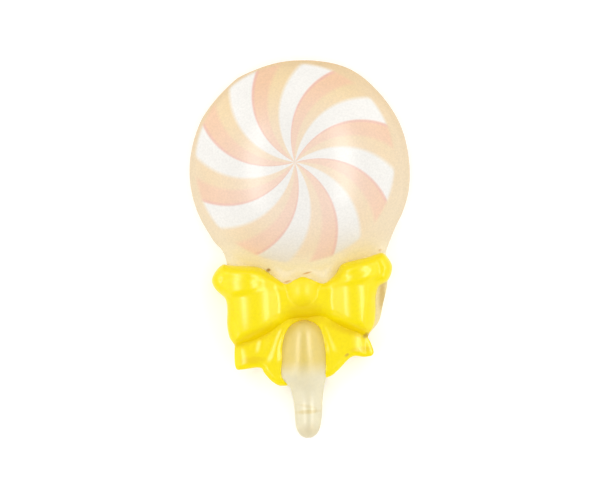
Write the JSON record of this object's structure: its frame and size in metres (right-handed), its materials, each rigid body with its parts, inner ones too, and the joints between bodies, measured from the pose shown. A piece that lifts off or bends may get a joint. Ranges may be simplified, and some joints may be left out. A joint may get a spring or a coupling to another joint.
{
  "type": "resin lollipop charm",
  "caption": "Flat-backed resin lollipop charm: a domed round head with a printed pinwheel, a ribbon bow below it, and a short milky stick.",
  "frame": {"origin": "centre of the charm's bounding box, on the plane of its flat back, which is the surface it lies on", "axes": "+Y from the stick's tip to the head, +Z out of the domed front, +X to the right seen from the front"},
  "size_m": [0.022, 0.0378, 0.0066],
  "materials": {
    "cream_resin": "gloss cast resin with a printed pinwheel of white and pale pink arms on its dome",
    "yellow_resin": "gloss cast resin",
    "milky_resin": "gloss, slightly see-through cast resin"
  },
  "bodies": {
    "root": {"body": "cream_resin", "bow": "yellow_resin", "stick": "milky_resin"}
  },
  "joints": []
}
